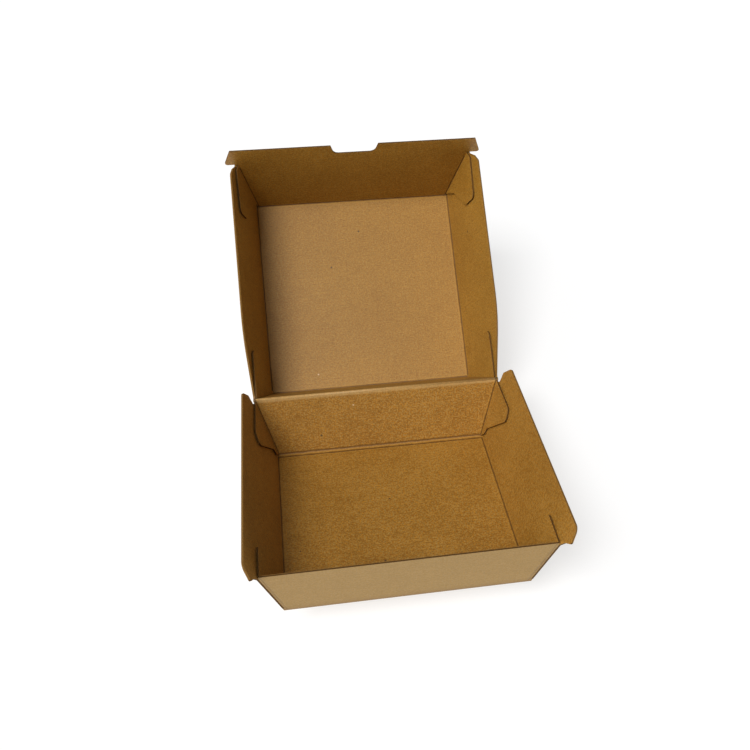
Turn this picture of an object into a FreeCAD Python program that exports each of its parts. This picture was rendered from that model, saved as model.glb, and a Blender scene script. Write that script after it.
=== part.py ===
import FreeCAD, Part
import math
import os
import Sketcher

# Hinged takeaway box folded from one sheet of kraft board, open.
# Lengths are in millimetres and angles in degrees. +X is the box's right, -Y its front, +Z up.

SIZES = {
    "board": 1.2,
    "crease_round": 1.0,
    "lid_lean": 45.7,
    "hinge_gap": 0.3,
    "middle_y": 90.948,
    "floor_x": 76.5,
    "floor_y": 74.6,
    "side_flare": 17.7,
    "end_flare": 16.9,
    "fold_rise": 43.1,
    "front_rise": 42.3,
    "side_strip": 18.9,
    "wing_kink": 3.0,
    "wing_root": 5.0,
    "wing_root_up": 3.0,
    "wing_tip": 11.5,
    "wing_tip_up": 8.0,
    "wing_top": 9.5,
    "rear_top": 14.0,
    "rear_foot": 4.0,
    "rear_foot_up": 9.0,
    "wing_round": 2.5,
    "wing_shoulder": 4.5,
    "strip_round": 6.0,
    "ear_gap": 0.35,
    "ear_reach": 39.0,
    "front_ear_reach": 24.0,
    "ear_nose": 4.0,
    "ear_drop": 8.0,
    "ear_heel": 5.0,
    "ear_heel_up": 12.0,
    "ear_relief_up": 6.0,
    "ear_round": 5.0,
    "lid_board_x": 77.9,
    "lid_board_y": 77.0,
    "lid_depth": 57.0,
    "lid_side_flare": 11.3,
    "lid_end_flare": 12.6,
    "lid_strip_start": 3.0,
    "lid_strip_peak": 46.0,
    "lid_strip_peak_up": 16.2,
    "lid_strip_round": 90.0,
    "lid_strip_nose": 6.5,
    "lid_strip_nose_up": 10.0,
    "lid_strip_top": 13.0,
    "lid_ear_reach": 38.0,
    "lid_ear_drop": 15.0,
    "lid_ear_heel": 19.0,
    "lid_ear_heel_up": 20.0,
    "lid_ear_top": 6.0,
    "lid_ear_top_up": 5.0,
    "lock_wing_over": 0.667,
    "lock_wing_slant": 5.1,
    "lock_wing_up": 1.1,
    "front_lip": 17.2,
    "thumb_top": 18.0,
    "thumb_floor": 15.4,
    "thumb_deep": 9.3,
    "thumb_round": 4.8,
    "lock_round": 2.0,
}

doc = FreeCAD.newDocument("TakeawayBox")
sheet = doc.addObject("Spreadsheet::Sheet", "Dim")
sheet.Label = "Dimensions"
for row, (alias, value) in enumerate(SIZES.items(), 1):
    sheet.set("A%d" % row, alias)
    sheet.set("B%d" % row, str(value))
    sheet.setAlias("B%d" % row, alias)
doc.recompute()

# Lengths that follow from the sheet, as expressions.
# How far the outer face of a wall runs below the top of the floor it folds from.
SIDE_FOOT = "Dim.board * tan(45 - Dim.side_flare / 2)"
END_FOOT = "Dim.board * tan(45 - Dim.end_flare / 2)"
LID_SIDE_FOOT = "Dim.board * tan(45 - Dim.lid_side_flare / 2)"
LID_END_FOOT = "Dim.board * tan(45 - Dim.lid_end_flare / 2)"
# Thickness of an end wall measured level.
END_WIDE = "Dim.board / cos(Dim.end_flare)"
LID_END_WIDE = "Dim.board / cos(Dim.lid_end_flare)"
# Rise from the floor to the hinge fold, and the same up the slope of each wall.
AXIS_RISE = "(Dim.fold_rise - Dim.board * sin(Dim.end_flare))"
SIDE_SLOPE = "(%s / cos(Dim.side_flare))" % AXIS_RISE
BACK_SLOPE = "(Dim.fold_rise / cos(Dim.end_flare))"
FRONT_SLOPE = "(Dim.front_rise / cos(Dim.end_flare))"
# Outer half width of the base at the top of its rim strips.
RIM_X = "(Dim.floor_x + (%s + Dim.side_strip) * sin(Dim.side_flare) + Dim.board * cos(Dim.side_flare))" % SIDE_SLOPE
# The lid's lock wings reach just past the base's rim and slant back towards the top of the lip.
WING_X = "(%s + Dim.lock_wing_over)" % RIM_X
WING_TOP_X = "(%s - Dim.lock_wing_slant)" % WING_X
# Inner half lengths of the base at the level of the hinge fold.
MOUTH_Y = "(Dim.floor_y + %s * tan(Dim.end_flare))" % AXIS_RISE
# The hinge line in the base, at the outer face of the back wall.
HINGE_Y = "(Dim.floor_y + Dim.fold_rise * tan(Dim.end_flare) + Dim.board * cos(Dim.end_flare))"
HINGE_Z = "(Dim.board + %s)" % AXIS_RISE
# The lid is drawn as a tray whose hinge line is its own X axis.
LID_RISE = "(Dim.lid_depth - Dim.board)"
LID_BACK_SLOPE = "((%s + Dim.board * sin(Dim.lid_end_flare)) / cos(Dim.lid_end_flare))" % LID_RISE
LID_FRONT_SLOPE = "(%s / cos(Dim.lid_end_flare))" % LID_RISE
LID_SIDE_SLOPE = "(%s / cos(Dim.lid_side_flare))" % LID_RISE
LID_NEAR = "(Dim.board / cos(Dim.lid_end_flare) + %s * tan(Dim.lid_end_flare))" % LID_RISE
LID_FAR = "(%s + 2 * Dim.lid_board_y)" % LID_NEAR
LID_MOUTH_Y = "(%s + %s * tan(Dim.lid_end_flare))" % (LID_FAR, LID_RISE)


def new_body(name, label):
    body = doc.addObject("PartDesign::Body", name)
    body.Label = label
    return body


def plane_of(body, role):
    for feature in body.Origin.OriginFeatures:
        if feature.Role == role:
            return feature
    raise ValueError(role)


def new_sketch(body, name, role, offset, angle):
    """A sketch on an origin plane, moved by the expressions in offset and turned about its own X."""
    sketch = body.newObject("Sketcher::SketchObject", name)
    sketch.AttachmentSupport = (plane_of(body, role), [""])
    sketch.MapMode = "FlatFace"
    sketch.AttachmentOffset = FreeCAD.Placement(
        FreeCAD.Vector(0, 0, 0), FreeCAD.Rotation(FreeCAD.Vector(1, 0, 0), 1))
    sketch.setExpression("AttachmentOffset.Rotation.Angle", angle)
    for axis, expression in zip("xyz", offset):
        sketch.setExpression("AttachmentOffset.Base." + axis, expression)
    return sketch


def draw_outline(sketch, points):
    """A closed outline whose corners are pairs of expressions."""
    count = len(points)
    # The constraints move these starting points, so a ring in the right order is enough.
    ring = []
    for i in range(count):
        turn = 2 * math.pi * i / count
        ring.append(FreeCAD.Vector(50 * math.cos(turn), 50 * math.sin(turn), 0))
    for i in range(count):
        sketch.addGeometry(Part.LineSegment(ring[i], ring[(i + 1) % count]), False)
    for i in range(count):
        sketch.addConstraint(Sketcher.Constraint("Coincident", i, 2, (i + 1) % count, 1))
    for i, (across, up) in enumerate(points):
        level = sketch.addConstraint(Sketcher.Constraint("DistanceX", -1, 1, i, 1, ring[i].x))
        sketch.setExpression("Constraints[%d]" % level, across)
        plumb = sketch.addConstraint(Sketcher.Constraint("DistanceY", -1, 1, i, 1, ring[i].y))
        sketch.setExpression("Constraints[%d]" % plumb, up)


def draw_circle(sketch, radius):
    sketch.addGeometry(Part.Circle(FreeCAD.Vector(0, 0, 0), FreeCAD.Vector(0, 0, 1), 1), False)
    sketch.addConstraint(Sketcher.Constraint("Coincident", 0, 3, -1, 1))
    size = sketch.addConstraint(Sketcher.Constraint("Radius", 0, 1))
    sketch.setExpression("Constraints[%d]" % size, radius)


def pad(body, sketch, length, backwards=False, both_ways=False):
    feature = body.newObject("PartDesign::Pad", sketch.Name + "Pad")
    feature.Profile = sketch
    feature.setExpression("Length", length)
    feature.Reversed = backwards
    feature.Midplane = both_ways
    sketch.Visibility = False
    doc.recompute()
    return feature


def round_corners(body, feature, sketch, corners, radius):
    """Rounds the board's corners that stand on the given corners of its outline."""
    normal = sketch.Placement.Rotation.multVec(FreeCAD.Vector(0, 0, 1))
    edges = []
    for corner in corners:
        foot = sketch.Placement.multVec(sketch.Geometry[corner].StartPoint)
        for number, edge in enumerate(feature.Shape.Edges, 1):
            ends = [v.Point for v in edge.Vertexes]
            if len(ends) != 2:
                continue
            along = (ends[1] - ends[0]).normalize()
            near = min(p.distanceToPoint(foot) for p in ends)
            if abs(along.dot(normal)) > 0.999 and near < 0.01:
                edges.append("Edge%d" % number)
    if not edges:
        raise ValueError("no corner found on " + sketch.Name)
    fillet = body.newObject("PartDesign::Fillet", sketch.Name + "Round%d" % corners[0])
    fillet.Base = (feature, edges)
    fillet.setExpression("Radius", radius)
    doc.recompute()
    return fillet


def round_creases(body, feature, level):
    """Rounds the creases along X on the underside of a floor at the given level."""
    edges = []
    for number, edge in enumerate(feature.Shape.Edges, 1):
        ends = [v.Point for v in edge.Vertexes]
        along = ends[-1] - ends[0]
        if abs(along.x) > 10 and all(abs(p.z - level) < 0.01 for p in ends):
            edges.append("Edge%d" % number)
    fillet = body.newObject("PartDesign::Fillet", body.Name + "Creases")
    fillet.Base = (feature, edges)
    fillet.setExpression("Radius", "Dim.crease_round")
    doc.recompute()
    return fillet


def tray_floor(body, name, half_x, low_y, high_y, level):
    sketch = new_sketch(body, name, "XY_Plane", ("0", "0", level), "0")
    draw_outline(sketch, [("-(%s)" % half_x, low_y), (half_x, low_y), (half_x, high_y), ("-(%s)" % half_x, high_y)])
    return pad(body, sketch, "Dim.board")


def end_wall(body, name, at_y, level, flare, points, faces_back):
    """A wall that folds up from a floor edge along X, drawn on its inner face."""
    sign = "-" if faces_back else ""
    sketch = new_sketch(body, name, "XZ_Plane", ("0", level, "-(%s)" % at_y), "%s(%s)" % (sign, flare))
    draw_outline(sketch, points)
    return sketch, pad(body, sketch, "Dim.board", backwards=faces_back)


def side_sheet(body, name, side, half_x, level, flare, stand_in, points, inwards):
    """A wall or an ear on one side, drawn on a plane that stands inside the wall's inner face."""
    offset_x = "(%s - (%s) * cos(%s))" % (half_x, stand_in, flare)
    offset_z = "(%s + (%s) * sin(%s))" % (level, stand_in, flare)
    sign = "" if side > 0 else "-"
    sketch = new_sketch(body, name, "YZ_Plane", ("0", offset_z, "%s%s" % (sign, offset_x)), "%s(%s)" % (sign, flare))
    draw_outline(sketch, points)
    return sketch, pad(body, sketch, "Dim.board", backwards=(side < 0) != inwards)


# Base tray: floor, front wall, back wall and the rounded fold of the hinge

base = new_body("BaseTray", "Base tray")
base_foot_x = "Dim.floor_x + " + SIDE_FOOT
tip = tray_floor(
    base, "BaseFloor", base_foot_x, "-(Dim.floor_y + %s)" % END_FOOT,
    "Dim.floor_y + " + END_FOOT, "0")

front_mouth_x = "(Dim.floor_x + Dim.front_rise * tan(Dim.side_flare))"
back_mouth_x = "(Dim.floor_x + Dim.fold_rise * tan(Dim.side_flare))"
sketch, tip = end_wall(
    base, "BaseFront", "-Dim.floor_y", "Dim.board", "Dim.end_flare",
    [("-(%s)" % base_foot_x, "-" + END_FOOT), (base_foot_x, "-" + END_FOOT),
     (front_mouth_x, FRONT_SLOPE), ("-" + front_mouth_x, FRONT_SLOPE)], False)
sketch, tip = end_wall(
    base, "BaseBack", "Dim.floor_y", "Dim.board", "Dim.end_flare",
    [("-(%s)" % base_foot_x, "-" + END_FOOT), (base_foot_x, "-" + END_FOOT),
     (back_mouth_x, BACK_SLOPE), ("-" + back_mouth_x, BACK_SLOPE)], True)
tip = round_creases(base, tip, 0)

sketch = new_sketch(base, "HingeFold", "YZ_Plane", (HINGE_Y, HINGE_Z, "0"), "0")
draw_circle(sketch, "Dim.board")
tip = pad(base, sketch, "2 * " + back_mouth_x, both_ways=True)

# Base tray: side walls with their rim strips and front wings, and the corner ears inside them

corner_lean = "tan(Dim.end_flare) * cos(Dim.side_flare)"
low_y = "(Dim.floor_y + %s + 2 * Dim.board * %s)" % (END_WIDE, corner_lean)
kink_y = "(Dim.floor_y + %s + (%s - Dim.wing_kink) * %s)" % (END_WIDE, SIDE_SLOPE, corner_lean)
base_side = [
    ("-Dim.floor_y", "-" + SIDE_FOOT),
    ("-" + low_y, "2 * Dim.board"),
    ("-" + kink_y, SIDE_SLOPE + " - Dim.wing_kink"),
    ("-(%s + Dim.wing_root)" % MOUTH_Y, SIDE_SLOPE + " + Dim.wing_root_up"),
    ("-(%s + Dim.wing_tip)" % MOUTH_Y, SIDE_SLOPE + " + Dim.wing_tip_up"),
    ("-(%s + Dim.wing_top)" % MOUTH_Y, SIDE_SLOPE + " + Dim.side_strip"),
    (MOUTH_Y + " - Dim.rear_top", SIDE_SLOPE + " + Dim.side_strip"),
    (MOUTH_Y + " - Dim.rear_foot", SIDE_SLOPE + " + Dim.rear_foot_up"),
    (MOUTH_Y + " - Dim.rear_foot", SIDE_SLOPE + " + Dim.board"),
    (MOUTH_Y + " - Dim.board", SIDE_SLOPE + " - Dim.board"),
    (MOUTH_Y + " + " + END_WIDE + " - Dim.board", SIDE_SLOPE + " - 2 * Dim.board"),
    (low_y, "2 * Dim.board"),
    ("Dim.floor_y", "-" + SIDE_FOOT),
]


def base_ear(end):
    """The ear's outline, from the fold at the corner to its rounded nose and back to the floor."""
    reach = "Dim.ear_reach" if end > 0 else "Dim.front_ear_reach"
    points = [
        (MOUTH_Y + " + Dim.board / 2", SIDE_SLOPE + " - Dim.board / 4"),
        (MOUTH_Y + " - " + reach, SIDE_SLOPE + " + Dim.board / 2"),
        (MOUTH_Y + " - " + reach + " - Dim.ear_nose", SIDE_SLOPE + " - Dim.ear_drop"),
        ("Dim.floor_y - Dim.ear_heel", "Dim.ear_heel_up"),
        ("Dim.floor_y - Dim.ear_heel + Dim.board", "Dim.ear_relief_up"),
        ("Dim.floor_y + Dim.board / 2", "Dim.board"),
    ]
    if end > 0:
        return points
    return [("-(%s)" % across, up) for across, up in points]


for side, word in ((1, "Right"), (-1, "Left")):
    sketch, tip = side_sheet(
        base, "BaseSide" + word, side, "Dim.floor_x", "Dim.board", "Dim.side_flare", "0", base_side, False)
    tip = round_corners(base, tip, sketch, [4], "Dim.wing_round")
    tip = round_corners(base, tip, sketch, [5], "Dim.wing_shoulder")
    tip = round_corners(base, tip, sketch, [6], "Dim.strip_round")
    for end, place in ((1, "Back"), (-1, "Front")):
        sketch, tip = side_sheet(
            base, "BaseEar" + place + word, side, "Dim.floor_x", "Dim.board", "Dim.side_flare",
            "Dim.ear_gap", base_ear(end), True)
        tip = round_corners(base, tip, sketch, [1, 2], "Dim.ear_round")

# Lid tray: panel, back wall and front wall with its lock wings and thumb notch

lid = new_body("LidTray", "Lid tray")
lid_level = "(Dim.board - Dim.lid_depth)"
lid_foot_x = "Dim.lid_board_x + " + LID_SIDE_FOOT
tip = tray_floor(
    lid, "LidPanel", lid_foot_x, LID_NEAR + " - " + LID_END_FOOT,
    LID_FAR + " + " + LID_END_FOOT, "-Dim.lid_depth")

lid_back_x = "(Dim.lid_board_x + %s * cos(Dim.lid_end_flare) * tan(Dim.lid_side_flare))" % LID_BACK_SLOPE
lid_front_x = "(Dim.lid_board_x + (%s + Dim.lock_wing_up) * cos(Dim.lid_end_flare) * tan(Dim.lid_side_flare))" % (
    LID_FRONT_SLOPE)
sketch, tip = end_wall(
    lid, "LidBack", LID_NEAR, lid_level, "Dim.lid_end_flare",
    [("-(%s)" % lid_foot_x, "-" + LID_END_FOOT), (lid_foot_x, "-" + LID_END_FOOT),
     (lid_back_x, LID_BACK_SLOPE), ("-" + lid_back_x, LID_BACK_SLOPE)], False)

lip = LID_FRONT_SLOPE + " + Dim.front_lip"
notch_floor = lip + " - Dim.thumb_deep"
wing_foot = LID_FRONT_SLOPE + " + Dim.lock_wing_up"
sketch, tip = end_wall(
    lid, "LidFront", LID_FAR, lid_level, "Dim.lid_end_flare",
    [("-(%s)" % lid_foot_x, "-" + LID_END_FOOT), (lid_foot_x, "-" + LID_END_FOOT),
     (lid_front_x, wing_foot), (WING_X, wing_foot), (WING_TOP_X, lip),
     ("Dim.thumb_top", lip), ("Dim.thumb_floor", notch_floor), ("-Dim.thumb_floor", notch_floor),
     ("-Dim.thumb_top", lip), ("-" + WING_TOP_X, lip), ("-" + WING_X, wing_foot),
     ("-" + lid_front_x, wing_foot)], True)
tip = round_corners(lid, tip, sketch, [3, 10], "Dim.lock_round")
tip = round_corners(lid, tip, sketch, [6, 7], "Dim.thumb_round")
tip = round_creases(lid, tip, -SIZES["lid_depth"])

# Lid tray: side walls with their rim strips, and the corner ears inside them

lid_corner_lean = "tan(Dim.lid_end_flare) * cos(Dim.lid_side_flare)"
lid_side = [
    (LID_NEAR, "-" + LID_SIDE_FOOT),
    (LID_FAR, "-" + LID_SIDE_FOOT),
    ("%s + %s + 2 * Dim.board * %s" % (LID_FAR, LID_END_WIDE, lid_corner_lean), "2 * Dim.board"),
    (LID_MOUTH_Y + " + " + LID_END_WIDE, LID_SIDE_SLOPE),
    (LID_MOUTH_Y + " - Dim.board", LID_SIDE_SLOPE + " + Dim.board"),
    (LID_MOUTH_Y + " - Dim.lid_strip_nose", LID_SIDE_SLOPE + " + Dim.lid_strip_nose_up"),
    (LID_MOUTH_Y + " - Dim.lid_strip_top", LID_SIDE_SLOPE + " + Dim.lid_strip_peak_up"),
    ("Dim.lid_strip_peak", LID_SIDE_SLOPE + " + Dim.lid_strip_peak_up"),
    ("Dim.lid_strip_start", LID_SIDE_SLOPE),
    ("0", LID_SIDE_SLOPE),
    ("%s - %s - 2 * Dim.board * %s" % (LID_NEAR, LID_END_WIDE, lid_corner_lean), "2 * Dim.board"),
]


def lid_ear(end):
    """As base_ear, counted from the hinge line or from the far corner, where the ear stands up at its top."""
    corner, heel = ("0", LID_NEAR) if end < 0 else (LID_MOUTH_Y, LID_FAR)
    away = "+" if end < 0 else "-"
    back = "-" if end < 0 else "+"
    top = "0" if end < 0 else "Dim.lid_ear_top_up"
    return [
        ("%s %s Dim.board / 2" % (corner, back if end > 0 else away), LID_SIDE_SLOPE + " - Dim.board / 2"),
        ("%s %s Dim.lid_ear_top" % (corner, away), "%s + %s" % (LID_SIDE_SLOPE, top)),
        ("%s %s Dim.lid_ear_reach" % (corner, away), "%s + %s / 2" % (LID_SIDE_SLOPE, top)),
        ("%s %s (Dim.lid_ear_reach - Dim.board / 2)" % (corner, away), LID_SIDE_SLOPE + " - Dim.lid_ear_drop"),
        ("%s %s Dim.lid_ear_heel" % (corner, away), "Dim.lid_ear_heel_up"),
        ("%s %s Dim.board" % (heel, away), "Dim.ear_relief_up"),
        ("%s %s Dim.board / 2" % (heel, back), "Dim.board"),
    ]


for side, word in ((1, "Right"), (-1, "Left")):
    sketch, tip = side_sheet(
        lid, "LidSide" + word, side, "Dim.lid_board_x", lid_level, "Dim.lid_side_flare", "0", lid_side, False)
    tip = round_corners(lid, tip, sketch, [5, 6], "Dim.wing_round")
    tip = round_corners(lid, tip, sketch, [7], "Dim.lid_strip_round")
    for end, place in ((-1, "Back"), (1, "Front")):
        sketch, tip = side_sheet(
            lid, "LidEar" + place + word, side, "Dim.lid_board_x", lid_level, "Dim.lid_side_flare",
            "Dim.ear_gap", lid_ear(end), True)
        tip = round_corners(lid, tip, sketch, [2, 3], "Dim.ear_round")

# The lid's back wall ends clear of the hinge fold

sketch = new_sketch(lid, "HingeRelief", "YZ_Plane", ("0", "0", "0"), "0")
draw_circle(sketch, "Dim.board + Dim.hinge_gap")
relief = lid.newObject("PartDesign::Pocket", "HingeReliefCut")
relief.Profile = sketch
relief.setExpression("Length", "2 * " + WING_X)
relief.Midplane = True
sketch.Visibility = False
doc.recompute()

# The open box leans back until the creases under both back walls stand on the same level

base_crease_y = "(Dim.floor_y + (Dim.board - Dim.crease_round) * tan(45 - Dim.end_flare / 2))"
lid_crease_y = "(%s - (Dim.board - Dim.crease_round) * tan(45 - Dim.lid_end_flare / 2))" % LID_NEAR
lid_crease_z = "(Dim.crease_round - Dim.lid_depth)"
lid_foot_y = "(%s + %s * cos(Dim.lid_lean) - %s * sin(Dim.lid_lean))" % (HINGE_Y, lid_crease_y, lid_crease_z)
lid_foot_z = "(%s + %s * sin(Dim.lid_lean) + %s * cos(Dim.lid_lean))" % (HINGE_Z, lid_crease_y, lid_crease_z)
tip_back = "(atan2(%s - Dim.crease_round; %s - %s) / 1 deg)" % (lid_foot_z, lid_foot_y, base_crease_y)
lift = "(Dim.crease_round * (1 - cos(%s)) + %s * sin(%s))" % (tip_back, base_crease_y, tip_back)

for body, lean, at_y, at_z in ((base, "0", "0", "0"), (lid, "Dim.lid_lean", HINGE_Y, HINGE_Z)):
    body.Placement = FreeCAD.Placement(FreeCAD.Vector(0, 0, 0), FreeCAD.Rotation(FreeCAD.Vector(1, 0, 0), 1))
    body.setExpression("Placement.Rotation.Angle", "%s - %s" % (lean, tip_back))
    body.setExpression(
        "Placement.Base.y", "%s * cos(%s) + %s * sin(%s) - Dim.middle_y" % (at_y, tip_back, at_z, tip_back))
    body.setExpression("Placement.Base.z", "%s * cos(%s) - %s * sin(%s) + %s" % (at_z, tip_back, at_y, tip_back, lift))
doc.recompute()

for item in doc.Objects:
    if "Invalid" in item.State or "Error" in item.State:
        raise RuntimeError("%s did not rebuild" % item.Name)

os.makedirs("parts", exist_ok=True)
for node, body in (("base_tray", base), ("lid_tray", lid)):
    shape = body.Shape
    if shape.isNull() or not shape.isValid() or len(shape.Solids) != 1:
        raise RuntimeError("%s is not one valid solid" % node)
    shape.exportStep("parts/%s.step" % node)
    box = shape.BoundBox
    print(node, round(shape.Volume, 1), [round(v, 2) for v in (
        box.XMin, box.XMax, box.YMin, box.YMax, box.ZMin, box.ZMax)], len(shape.Faces))
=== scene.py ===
import math

import bmesh
import bpy
from mathutils import Matrix, Vector


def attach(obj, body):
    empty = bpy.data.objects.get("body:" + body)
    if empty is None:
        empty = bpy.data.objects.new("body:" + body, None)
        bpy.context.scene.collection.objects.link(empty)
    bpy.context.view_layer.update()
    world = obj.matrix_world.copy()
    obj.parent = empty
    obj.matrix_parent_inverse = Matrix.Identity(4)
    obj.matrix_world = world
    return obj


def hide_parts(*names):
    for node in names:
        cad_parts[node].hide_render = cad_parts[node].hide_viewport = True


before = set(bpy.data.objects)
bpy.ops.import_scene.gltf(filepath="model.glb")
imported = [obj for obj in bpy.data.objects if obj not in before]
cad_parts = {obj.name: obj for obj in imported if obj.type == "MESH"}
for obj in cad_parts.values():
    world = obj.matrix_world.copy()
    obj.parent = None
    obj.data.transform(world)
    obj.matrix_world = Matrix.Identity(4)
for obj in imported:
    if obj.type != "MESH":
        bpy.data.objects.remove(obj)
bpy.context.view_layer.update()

# Sizes in metres and radians, as in the CAD part

BOARD = 0.0012
EAR_GAP = 0.00035
TIP_BACK = math.radians(12.0057)
LIFT = 0.015570
MIDDLE_Y = 0.090948
HINGE = Vector((0, 0.088843, 0.043951))
LID_LEAN = math.radians(45.7)

# Each tray: its half lengths at the folds, the flares of its side and end walls, and its walls' rise
BASE = {"x": 0.0765, "y": 0.0746, "side": math.radians(17.7), "end": math.radians(16.9), "rise": 0.0431}
LID = {"x": 0.0779, "y": 0.077, "side": math.radians(11.3), "end": math.radians(12.6), "rise": 0.0558}

# From each tray's own upright frame to the shared frame
BASE_PLACE = Matrix.Translation((0, -MIDDLE_Y, LIFT)) @ Matrix.Rotation(-TIP_BACK, 4, "X")
LID_NEAR = BOARD / math.cos(LID["end"]) + LID["rise"] * math.tan(LID["end"])
LID_PLACE = (
    BASE_PLACE @ Matrix.Translation(HINGE) @ Matrix.Rotation(LID_LEAN, 4, "X")
    @ Matrix.Translation((0, LID_NEAR + LID["y"], -LID["rise"] - BOARD)))

# The hinge line's y and z in the shared frame, and how far from it the rounded fold reaches
HINGE_LINE = (BASE_PLACE @ HINGE).yz
HINGE_NEAR = 0.0022

# Where the hinge line lies on each tray's flat blank, from the middle of its panel. A face that doesn't show
# the hinge has it far off the blank
BASE_HINGE_Y = BASE["y"] + BASE["rise"] / math.cos(BASE["end"])
LID_HINGE_Y = -LID["y"] - (LID["rise"] + BOARD * math.sin(LID["end"])) / math.cos(LID["end"])
NO_HINGE = 9.0

# Cleaning the CAD mesh and sorting its faces onto the sheets: MERGE and SAME_PLANE are distances, DISSOLVE is
# an angle, and the others are cosines
MERGE = 1e-6
DISSOLVE = math.radians(1)
PARALLEL = 0.9999
SAME_PLANE = 1e-4
EDGE_ON = 0.12
RIM_UP = 0.1
# A sheet's score for a face, where the least wins, grows per metre between them and starts higher for an ear
# or side wall
DISTANCE_SCORE = 1000
BEHIND = 0.02

# Colours, as linear red, green and blue

INSIDE = {
    "base": ((0.451, 0.2265, 0.0322), (0.2405, 0.0965, 0.0017)),
    "lid": ((0.445, 0.229, 0.0271), (0.2375, 0.099, 0.0013))}
OUTSIDE = ((0.388, 0.228, 0.056), (0.31, 0.176, 0.03))
LESS_YELLOW, MORE_YELLOW = (0.955, 1.12, 2.02, 1), (1.045, 0.89, 0.2, 1)
# Crease lines: partly the pressed score's own colour, partly painted shade in the folds
CREASE_SCORE_AND_SHADE_TONE = (0.13, 0.056, 0.008, 1)
FOOT_TONE = (0.26, 0.13, 0.02, 1)
# Painted highlight on the hinge's rounded fold
HINGE_HIGHLIGHT_TONE = (0.66, 0.45, 0.19, 1)
BARK, FLECK = (0.035, 0.02, 0.008, 1), (0.72, 0.56, 0.34, 1)
# Liner, flute and hollow of the cut edges: dark at the slots and end walls, pale along the side walls' rims.
# These are
# lit and shaded copies of one cut edge: the rims' paler tones are a painted highlight, the darker copy is
# partly painted shade in slots and gaps, and each dark hollow is painted shade in the open flutes
SHADED_SLOT_EDGE = ((0.32, 0.17, 0.05, 1), (0.19, 0.095, 0.026, 1), (0.075, 0.037, 0.011, 1))
LIT_RIM_EDGE = ((0.4, 0.222, 0.06, 1), (0.3, 0.16, 0.042, 1), (0.19, 0.098, 0.025, 1))

# Paper: noises as scale per metre, detail and roughness, and spans of noise that run from dark to light

CLOUDS = (20, 2, 0.5)
BLOTCH = (130, 2, 0.6)
MOTTLE = (420, 2, 0.6)
GRAIN = (1000, 2, 0.6)
HUE = (780, 2, 0.6)
WANDER = (150, 2, 0.5)
SWELL = (11, 1, 0.5)
FIBRE = (1, 1, 0.5)
FIBRE_ACROSS, FIBRE_ALONG = 450, 1000
EDGE_GRAIN = (900, 3, 0.6)
CLOUD_SHARE, BLOTCH_SHARE, MOTTLE_SHARE = 0.1, 0.1, 0.16
GRAIN_SHARE, FIBRE_SHARE, FLUTE_SHARE = 0.46, 0.18, 0.01
TONE_SPAN = (0.39, 0.61)
HUE_SPAN = (0.36, 0.64)
FLUTE_SPAN = (0.35, 0.7)
EDGE_SPAN = (0.3, 0.7)
EDGE_DARKEST = 0.7
FLUTE_PITCH = 0.0031
PAPER_ROUGHNESS, PAPER_SHINE = 0.57, 0.62
EDGE_ROUGHNESS, EDGE_SHINE = 0.9, 0.1

# Creases, in metres on the blank: their dark lines are partly pressed score and partly painted shade, with
# painted highlights beside them. Each pair is how far off a line has faded out, and how far it is full
PRESSED = (0.0009, 0.0002)
# A pale line a little way off each fold is a painted highlight
SHOULDER_AT, SHOULDER_HIGHLIGHT_SHARE = 0.0014, 0.35
WANDER_BY = 0.0004
PAST_FOLD = 0.0004
# The doubled fold: its second dark line is partly score and partly painted shade, its pale strip a painted
# highlight
SECOND_AT, SECOND_LINE, SECOND_SHARE, SECOND_WANDER = 0.0027, (0.0011, 0.0003), 0.9, 1.2
STRIP_AT, STRIP_LINE, STRIP_HIDES, STRIP_HIGHLIGHT_SHARE = 0.0012, (0.0013, 0.0005), 0.65, 0.4
# The hinge's painted highlight: its span off the hinge line, its share and its wander
HINGE_HIGHLIGHT_SPAN, HINGE_HIGHLIGHT_SHARE, HINGE_WANDER = (0.0026, 0.0008), 0.42, 1.5
FOOT_DARKENING = (0.006, 0.0)

# Relief, in metres
GRAIN_HIGH, MOTTLE_HIGH, FLUTE_HIGH, SWELL_HIGH, CREASE_DEEP = 0.00006, 0.00011, 0.000016, 0.0005, 0.00025
EDGE_DEEP = 0.0003
PAPER_BUMP, EDGE_BUMP = 0.8, 0.5

# The cut board, in board thicknesses from its middle
FLUTE_SWING = 0.3
FLUTE_LINE = (0.15, 0.08)
LINER_LINE = (0.37, 0.42)

# Strengths of each surface's creases, which carry painted shade and painted highlights, and of its darker
# foot, and how the two insides differ. A corner top far off the blank lets the corner folds run to their ends
INSIDE_CREASE, OUTSIDE_CREASE = 0.85, 0.25
OUTSIDE_FOOT = 0.5
NO_CORNER_TOP = 1.0
BASE_INSIDE = {"Hinge Y": BASE_HINGE_Y, "Second fold": 1.0, "Corner top": NO_CORNER_TOP, "Calm panel": 0.0}
LID_INSIDE = {"Hinge Y": LID_HINGE_Y, "Second fold": 0.0, "Corner top": 0.0535, "Calm panel": 0.45}
BASE_SEED, LID_SEED, OUTSIDE_SEED_STEP = 1.3, 7.9, 3

# Specks at places of their own, on each tray's flat blank: across, along, radius, and whether it is pale
SPECKS = {
    "base": (
        (-0.01136, -0.04366, 0.0009, False), (-0.00131, 0.01623, 0.0007, False),
        (-0.06515, -0.02661, 0.0007, False), (-0.04366, 0.08853, 0.0009, False),
        (-0.01874, 0.10994, 0.0006, True)),
    "lid": (
        (-0.02275, 0.0216, 0.0008, False), (0.00186, 0.05035, 0.0008, False),
        (0.11351, 0.03244, 0.0009, False), (-0.04095, -0.065, 0.0006, True)),
}
SPECK_OUTER, SPECK_INNER, SPECK_SHARE = 1.3, 0.5, 0.8

# Light, floor and camera

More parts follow.
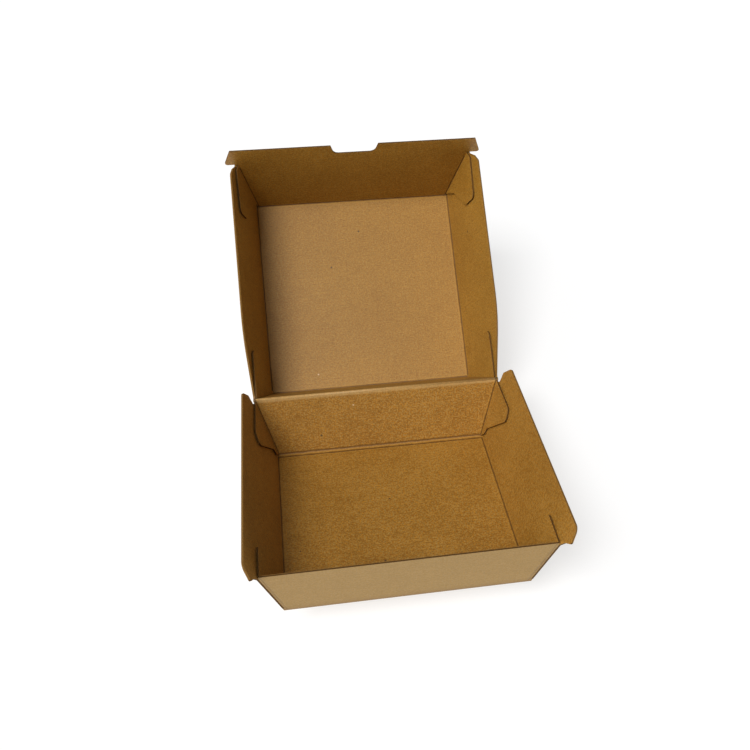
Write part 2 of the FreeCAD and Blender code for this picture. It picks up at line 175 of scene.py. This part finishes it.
KEY_FROM, KEY_POWER, KEY_SPREAD = (-0.36, -0.42, 0.83), 2.6, math.radians(24)
FILL_FROM, FILL_POWER, FILL_SPREAD = (-0.9, -0.25, 0.5), 0.72, math.radians(50)
WORLD_LIGHT = 0.175
FLOOR_WHITE, FLOOR_GLOW, FLOOR_ROUGHNESS, FLOOR_SIZE = 0.36, 0.68, 0.9, 8
CAMERA_AT = (-0.05561, -0.48982, 0.56481)
CAMERA_RIGHT = Vector((0.986192, -0.160673, 0.040109))
CAMERA_DOWN = Vector((-0.087204, -0.709748, -0.699037))
CAMERA_AHEAD = Vector((0.140784, 0.685887, -0.71396))
SENSOR, LENS, SHIFT_X = 36, 47.176, -0.08667

# The order of a tray's materials
SURFACES = ("inner", "outer", "slot", "rim")


class Sheet:
    """One flat sheet of the folded board, and where it lies in the flat blank."""

    def __init__(self, kind, place, at, along, up, blank_at, blank_along, blank_up, outer, inner=0.0):
        turn = place.to_3x3()
        self.kind = kind
        self.at = place @ Vector(at)
        self.along = (turn @ Vector(along)).normalized()
        self.up = (turn @ Vector(up)).normalized()
        self.out = (turn @ Vector(outer)).normalized()
        self.blank_at = Vector(blank_at)
        self.blank_along = Vector(blank_along)
        self.blank_up = Vector(blank_up)
        self.inner = inner

    def depth(self, point):
        """How far a point lies outside the sheet's inner face."""
        return (point - self.at).dot(self.out) - self.inner

    def blank(self, point):
        """Where a point lies on the flat blank."""
        offset = point - self.at
        return self.blank_at + self.blank_along * offset.dot(self.along) + self.blank_up * offset.dot(self.up)


def tray_sheets(place, size):
    """The floor, four walls and four ears of a tray, unfolded onto the blank."""
    x, y = size["x"], size["y"]
    cs, ss = math.cos(size["side"]), math.sin(size["side"])
    ce, se = math.cos(size["end"]), math.sin(size["end"])
    sheets = [Sheet("floor", place, (0, 0, BOARD), (1, 0, 0), (0, 1, 0), (0, 0), (1, 0), (0, 1), (0, 0, -1))]
    for end in (1, -1):
        sheets.append(Sheet(
            "end", place, (0, end * y, BOARD), (1, 0, 0), (0, end * se, ce),
            (0, end * y), (1, 0), (0, end), (0, end * ce, -se)))
    for side in (1, -1):
        out = Vector((side * cs, 0, -ss))
        sheets.append(Sheet(
            "side", place, (side * x, 0, BOARD), (0, 1, 0), (side * ss, 0, cs),
            (side * x, 0), (0, 1), (side, 0), out))
        for end in (1, -1):
            fold = Vector((side * math.tan(size["side"]), end * math.tan(size["end"]), 1)).normalized()
            away = fold.cross(out)
            away = away if away.y * end < 0 else -away
            flat = Vector((fold.x, end * fold.dot(Vector((0, end * se, ce)))))
            sideways = Vector((abs(flat.y) * side, -abs(flat.x) * end))
            sheets.append(Sheet(
                "ear", place, (side * x, end * y, BOARD), away, fold, (side * x, end * y), sideways, flat,
                out, inner=-EAR_GAP - BOARD))
    return sheets


def sort_face(face, sheets):
    """The sheet that a face belongs to, and whether it is its inner, outer or cut face."""
    middle = face.calc_center_median()
    best_score = math.inf
    for sheet in sheets:
        facing = face.normal.dot(sheet.out)
        depth = sheet.depth(middle)
        if abs(facing) > PARALLEL and min(abs(depth), abs(depth - BOARD)) < SAME_PLANE:
            return sheet, "outer" if facing > 0 else "inner"
        score = max(0, -depth, depth - BOARD) * DISTANCE_SCORE + abs(facing)
        if sheet.kind in ("ear", "side"):
            score += BEHIND
        if score < best_score:
            best_score, best_sheet, best_facing = score, sheet, facing
    if abs(best_facing) > EDGE_ON:
        return best_sheet, "outer" if best_facing > 0 else "inner"
    return best_sheet, "slot"


def board_piece(node, name, place, size):
    """A tray's board: the CAD solid's shape with its flat faces whole, laid out on the flat blank."""
    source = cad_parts[node]
    mesh = source.data.copy()
    mesh.name = name
    mesh.materials.clear()
    mesh.transform(source.matrix_world)
    mesh.attributes.remove(mesh.attributes["custom_normal"])
    piece = bpy.data.objects.new(name, mesh)
    bpy.context.collection.objects.link(piece)
    sheets = tray_sheets(place, size)
    bm = bmesh.new()
    bm.from_mesh(mesh)
    bmesh.ops.remove_doubles(bm, verts=bm.verts, dist=MERGE)
    bmesh.ops.dissolve_limit(
        bm, angle_limit=DISSOLVE, use_dissolve_boundaries=False, verts=bm.verts, edges=bm.edges)
    for layer in list(bm.loops.layers.uv.values()):
        bm.loops.layers.uv.remove(layer)
    blank = bm.loops.layers.uv.new("blank")
    for face in bm.faces:
        sheet, surface = sort_face(face, sheets)
        # Faces on the hinge's rounded fold take the inside paper, which carries the painted hinge highlight
        if face.normal.z > 0 and math.dist(face.calc_center_median().yz, HINGE_LINE) < HINGE_NEAR:
            surface = "inner"
        if abs(face.normal.dot(sheet.out)) > PARALLEL:
            face.smooth = False
        for loop in face.loops:
            spot = sheet.blank(loop.vert.co)
            if surface == "slot":
                spot = Vector((spot.y, sheet.depth(loop.vert.co)))
            loop[blank].uv = spot
        if surface == "slot" and sheet.kind == "side" and face.normal.dot(sheet.up) > RIM_UP:
            surface = "rim"
        face.material_index = SURFACES.index(surface)
    bm.to_mesh(mesh)
    bm.free()
    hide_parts(node)
    return piece


class Nodes:
    """Short calls for building a node tree."""

    def __init__(self, tree):
        self.tree = tree

    def new(self, kind, **values):
        node = self.tree.nodes.new(kind)
        for key, value in values.items():
            setattr(node, key, value)
        return node

    def put(self, value, socket):
        if isinstance(value, bpy.types.NodeSocket):
            self.tree.links.new(value, socket)
        else:
            socket.default_value = value

    def math(self, operation, *values):
        node = self.new("ShaderNodeMath", operation=operation)
        for value, socket in zip(values, node.inputs):
            self.put(value, socket)
        return node.outputs[0]

    def add(self, a, b):
        return self.math("ADD", a, b)

    def take(self, a, b):
        return self.math("SUBTRACT", a, b)

    def times(self, a, b):
        return self.math("MULTIPLY", a, b)

    def times_add(self, a, b, c):
        return self.math("MULTIPLY_ADD", a, b, c)

    def off(self, a, b):
        """How far a is from b."""
        return self.math("ABSOLUTE", self.take(a, b))

    def above(self, a, b):
        """1 where a is more than b, else 0."""
        return self.math("GREATER_THAN", a, b)

    def below(self, a, b):
        """1 where a is less than b, else 0."""
        return self.math("LESS_THAN", a, b)

    def least(self, a, b):
        return self.math("MINIMUM", a, b)

    def most(self, a, b):
        return self.math("MAXIMUM", a, b)

    def ramp(self, value, low, high, to_low=0.0, to_high=1.0):
        """Smoothly takes low..high to to_low..to_high."""
        node = self.new("ShaderNodeMapRange", interpolation_type="SMOOTHSTEP")
        for number, socket in zip((value, low, high, to_low, to_high), node.inputs):
            self.put(number, socket)
        return node.outputs[0]

    def mix(self, factor, a, b, blend="MIX"):
        node = self.new("ShaderNodeMix", data_type="RGBA", blend_type=blend)
        self.put(factor, node.inputs["Factor"])
        self.put(a, node.inputs[6])
        self.put(b, node.inputs[7])
        return node.outputs[2]

    def noise(self, vector, scale, detail, rough):
        node = self.new("ShaderNodeTexNoise")
        self.put(vector, node.inputs["Vector"])
        self.put(scale, node.inputs["Scale"])
        self.put(detail, node.inputs["Detail"])
        self.put(rough, node.inputs["Roughness"])
        return node.outputs["Fac"]

    def vector(self, x, y, z):
        node = self.new("ShaderNodeCombineXYZ")
        for value, socket in zip((x, y, z), node.inputs):
            self.put(value, socket)
        return node.outputs[0]

    def blank_uv(self):
        return self.new("ShaderNodeUVMap", uv_map="blank").outputs[0]

    def split_uv(self):
        split = self.new("ShaderNodeSeparateXYZ")
        self.put(self.blank_uv(), split.inputs[0])
        return split.outputs[0], split.outputs[1]

    def bump(self, height, strength):
        node = self.new("ShaderNodeBump")
        self.put(strength, node.inputs["Strength"])
        self.put(1.0, node.inputs["Distance"])
        self.put(height, node.inputs["Height"])
        return node.outputs[0]


def kraft_group():
    """Kraft liner on the flat blank: mottle, grain, flute lines, and pressed creases with painted shade and
    painted highlights.
    """
    tree = bpy.data.node_groups.new("kraft", "ShaderNodeTree")
    for name in ("Light", "Dark"):
        tree.interface.new_socket(name, in_out="INPUT", socket_type="NodeSocketColor")
    for name in ("Half X", "Half Y", "Ear slope", "Seed", "Crease", "Corner top", "Hinge Y", "Second fold",
                 "Foot", "Calm panel"):
        tree.interface.new_socket(name, in_out="INPUT", socket_type="NodeSocketFloat")
    tree.interface.new_socket("Color", in_out="OUTPUT", socket_type="NodeSocketColor")
    tree.interface.new_socket("Normal", in_out="OUTPUT", socket_type="NodeSocketVector")
    n = Nodes(tree)
    given = n.new("NodeGroupInput").outputs
    result = n.new("NodeGroupOutput").inputs
    x, y = n.split_uv()
    place = n.vector(x, y, given["Seed"])

    # Paper: slow clouds, blotches, mottle, grain, short fibres and faint flutes, calmer on the lid's panel
    clouds = n.noise(place, *CLOUDS)
    mottle = n.noise(place, *MOTTLE)
    grain = n.noise(place, *GRAIN)
    fibre_place = n.vector(n.times(x, FIBRE_ACROSS), n.times(y, FIBRE_ALONG), given["Seed"])
    wave = n.math("SINE", n.times(y, 2 * math.pi / FLUTE_PITCH))
    flutes = n.times(wave, n.ramp(clouds, *FLUTE_SPAN))
    tone = n.times(clouds, CLOUD_SHARE)
    for part, share in ((n.noise(place, *BLOTCH), BLOTCH_SHARE), (mottle, MOTTLE_SHARE), (grain, GRAIN_SHARE),
                        (n.noise(fibre_place, *FIBRE), FIBRE_SHARE), (flutes, FLUTE_SHARE)):
        tone = n.times_add(part, share, tone)
    over_x = n.take(n.math("ABSOLUTE", x), given["Half X"])
    over_y = n.take(n.math("ABSOLUTE", y), given["Half Y"])
    on_panel = n.below(n.most(over_x, over_y), 0.0)
    lively = n.times_add(on_panel, n.times(given["Calm panel"], -1.0), 1.0)
    tone = n.times_add(n.take(tone, 0.5), lively, 0.5)
    colour = n.mix(n.ramp(tone, *TONE_SPAN), given["Dark"], given["Light"])
    hue = n.ramp(n.noise(n.vector(y, x, given["Seed"]), *HUE), *HUE_SPAN)
    hued = n.mix(1.0, colour, n.mix(hue, MORE_YELLOW, LESS_YELLOW), "MULTIPLY")
    colour = n.mix(n.times(given["Crease"], lively), colour, hued)

    # Creases: the folds round the panel and up the corners, darkened partly as pressed score and partly as
    # painted shade.
    # Where a fold stops, its distance jumps by a metre
    wander = n.times_add(n.noise(place, *WANDER), 2 * WANDER_BY, -WANDER_BY)
    side = n.add(n.math("ABSOLUTE", over_x), n.above(over_y, PAST_FOLD))
    end = n.add(n.math("ABSOLUTE", over_y), n.above(over_x, PAST_FOLD))
    past_fold = n.take(over_x, n.times(over_y, given["Ear slope"]))
    corner = n.least(n.math("ABSOLUTE", past_fold), n.math("ABSOLUTE", n.add(past_fold, EAR_GAP + BOARD)))
    corner = n.add(corner, n.below(over_y, 0.0))
    corner = n.add(corner, n.times(n.above(over_y, given["Corner top"]), n.above(y, 0.0)))
    fold = n.add(n.least(n.least(side, end), corner), wander)
    press = n.ramp(fold, *PRESSED)
    # A pale line beside each fold: painted highlight
    shoulder_highlight = n.ramp(n.off(fold, SHOULDER_AT), *PRESSED)
    colour = n.mix(n.times(shoulder_highlight, n.times(given["Crease"], SHOULDER_HIGHLIGHT_SHARE)), colour, given["Light"])

    # The fold at the foot of the back wall is doubled: a dark line a little way up, partly score and partly
    # painted shade, and a pale strip below it, a painted highlight
    up_back = n.add(n.take(y, given["Half Y"]), n.times(wander, SECOND_WANDER))
    inside_walls = n.below(over_x, n.times(n.most(over_y, 0.0), given["Ear slope"]))
    doubled = n.times(given["Second fold"], inside_walls)
    second = n.times(n.ramp(n.off(up_back, SECOND_AT), *SECOND_LINE), doubled)
    strip = n.times(n.ramp(n.off(up_back, STRIP_AT), *STRIP_LINE), doubled)
    colour = n.mix(n.times(strip, STRIP_HIGHLIGHT_SHARE), colour, given["Light"])

    # The rounded fold at the hinge gets a painted highlight, and the outer face darkens towards its foot
    from_hinge = n.times(n.take(given["Hinge Y"], y), n.math("SIGN", given["Hinge Y"]))
    from_hinge = n.add(from_hinge, n.times(wander, HINGE_WANDER))
    hinge_highlight = n.times(n.ramp(from_hinge, *HINGE_HIGHLIGHT_SPAN), given["Crease"])
    colour = n.mix(n.times(hinge_highlight, HINGE_HIGHLIGHT_SHARE), colour, HINGE_HIGHLIGHT_TONE)
    foot = n.times(n.ramp(n.math("ABSOLUTE", over_y), *FOOT_DARKENING), given["Foot"])
    colour = n.mix(foot, colour, FOOT_TONE)

    # The crease lines' darkening: partly the pressed score, partly painted shade
    line = n.most(n.times(press, n.times_add(strip, -STRIP_HIDES, 1.0)), n.times(second, SECOND_SHARE))
    n.put(n.mix(n.times(line, given["Crease"]), colour, CREASE_SCORE_AND_SHADE_TONE), result["Color"])

    # Relief: grain, faint flutes, a slow swell and the pressed folds
    height = n.times_add(grain, GRAIN_HIGH, n.times(mottle, MOTTLE_HIGH))
    height = n.times_add(flutes, FLUTE_HIGH, height)
    height = n.times_add(n.noise(place, *SWELL), SWELL_HIGH, height)
    height = n.times_add(line, -CREASE_DEEP, height)
    n.put(n.bump(height, PAPER_BUMP), result["Normal"])
    return tree


def new_material(name, roughness, shine):
    mat = bpy.data.materials.new(name)
    mat.use_nodes = True
    shader = mat.node_tree.nodes["Principled BSDF"].inputs
    shader["Roughness"].default_value = roughness
    shader["Specular IOR Level"].default_value = shine
    return mat, Nodes(mat.node_tree), shader


def kraft(name, group, tones, size, specks, settings):
    """A tray's inside or outside. The settings are the group's inputs that aren't its tones or sizes."""
    mat, n, shader = new_material(name, PAPER_ROUGHNESS, PAPER_SHINE)
    node = n.new("ShaderNodeGroup", node_tree=group)
    light, dark = tones
    inputs = {
        "Light": (*light, 1), "Dark": (*dark, 1), "Half X": size["x"], "Half Y": size["y"],
        "Ear slope": math.tan(size["side"]) * math.cos(size["end"]), **settings}
    for key, value in inputs.items():
        node.inputs[key].default_value = value
    colour = node.outputs["Color"]
    uv = n.blank_uv()
    for across, along, radius, pale in specks:
        away = n.new("ShaderNodeVectorMath", operation="DISTANCE")
        n.put(uv, away.inputs[0])
        away.inputs[1].default_value = (across, along, 0)
        spot = n.ramp(away.outputs["Value"], radius * SPECK_OUTER, radius * SPECK_INNER)
        colour = n.mix(n.times(spot, SPECK_SHARE), colour, FLECK if pale else BARK)
    n.put(colour, shader["Base Color"])
    n.put(node.outputs["Normal"], shader["Normal"])
    return mat


def cut_edge(name, tones):
    """The cut board: two liners and the wavy flute sheet between them, with painted shade where it is open.
    """
    liner_tone, flute_tone, hollow_shade_tone = tones
    mat, n, shader = new_material(name, EDGE_ROUGHNESS, EDGE_SHINE)
    along, depth = n.split_uv()
    middle = n.take(n.math("DIVIDE", depth, BOARD), 0.5)
    wave = n.times(n.math("SINE", n.times(along, 2 * math.pi / FLUTE_PITCH)), FLUTE_SWING)
    flute = n.ramp(n.off(middle, wave), *FLUTE_LINE)
    liner = n.ramp(n.math("ABSOLUTE", middle), *LINER_LINE)
    place = n.new("ShaderNodeTexCoord").outputs["Object"]
    tone = n.ramp(n.noise(place, *EDGE_GRAIN), *EDGE_SPAN, EDGE_DARKEST, 1.0)
    paper = n.mix(liner, n.mix(flute, hollow_shade_tone, flute_tone), liner_tone)
    n.put(n.mix(tone, hollow_shade_tone, paper), shader["Base Color"])
    n.put(n.bump(n.times(n.most(flute, liner), EDGE_DEEP), EDGE_BUMP), shader["Normal"])
    return mat


def dress(piece, body, size, seed, inside, group, edges):
    """Gives a tray its body and its materials, in the order of SURFACES."""
    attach(piece, body)
    inner = kraft(
        body + "_inside", group, INSIDE[body], size, SPECKS[body],
        {"Seed": seed, "Crease": INSIDE_CREASE, "Foot": 0.0, **inside})
    outer = kraft(
        body + "_outside", group, OUTSIDE, size, (),
        {"Seed": seed + OUTSIDE_SEED_STEP, "Crease": OUTSIDE_CREASE, "Foot": OUTSIDE_FOOT,
         "Hinge Y": NO_HINGE, "Second fold": 0.0, "Corner top": NO_CORNER_TOP, "Calm panel": 0.0})
    for mat in (inner, outer, *edges):
        piece.data.materials.append(mat)


def camera():
    """The photograph's viewpoint."""
    cam = bpy.data.cameras.new("camera")
    cam.sensor_width = SENSOR
    cam.lens = LENS
    cam.shift_x = SHIFT_X
    obj = bpy.data.objects.new("camera", cam)
    bpy.context.collection.objects.link(obj)
    turn = Matrix((CAMERA_RIGHT, -CAMERA_DOWN, -CAMERA_AHEAD)).transposed()
    obj.matrix_world = Matrix.Translation(CAMERA_AT) @ turn.to_4x4()
    bpy.context.scene.camera = obj


def distant_light(name, came_from, power, spread):
    data = bpy.data.lights.new(name, "SUN")
    data.energy = power
    data.angle = spread
    obj = bpy.data.objects.new(name, data)
    bpy.context.collection.objects.link(obj)
    obj.location = came_from
    obj.rotation_euler = (-Vector(came_from)).to_track_quat("-Z", "Y").to_euler()


def floor():
    """A white floor that glows a little, so that shadows on it stay faint."""
    bpy.ops.mesh.primitive_plane_add(size=FLOOR_SIZE)
    plane = bpy.context.object
    plane.name = "floor"
    mat = bpy.data.materials.new("floor")
    mat.use_nodes = True
    shader = mat.node_tree.nodes["Principled BSDF"].inputs
    shader["Base Color"].default_value = (FLOOR_WHITE, FLOOR_WHITE, FLOOR_WHITE, 1)
    shader["Roughness"].default_value = FLOOR_ROUGHNESS
    shader["Emission Color"].default_value = (1, 1, 1, 1)
    shader["Emission Strength"].default_value = FLOOR_GLOW
    plane.data.materials.append(mat)


base = board_piece("base_tray", "base_board", BASE_PLACE, BASE)
lid = board_piece("lid_tray", "lid_board", LID_PLACE, LID)
kraft_paper = kraft_group()
cut_edges = (cut_edge("shaded_slot_edge", SHADED_SLOT_EDGE), cut_edge("lit_rim_edge", LIT_RIM_EDGE))
dress(base, "base", BASE, BASE_SEED, BASE_INSIDE, kraft_paper, cut_edges)
dress(lid, "lid", LID, LID_SEED, LID_INSIDE, kraft_paper, cut_edges)

floor()
camera()
distant_light("key", KEY_FROM, KEY_POWER, KEY_SPREAD)
distant_light("fill", FILL_FROM, FILL_POWER, FILL_SPREAD)
world = bpy.data.worlds.new("world")
bpy.context.scene.world = world
world.use_nodes = True
background = world.node_tree.nodes["Background"].inputs
background["Color"].default_value = (1, 1, 1, 1)
background["Strength"].default_value = WORLD_LIGHT
bpy.context.scene.view_settings.view_transform = "Standard"
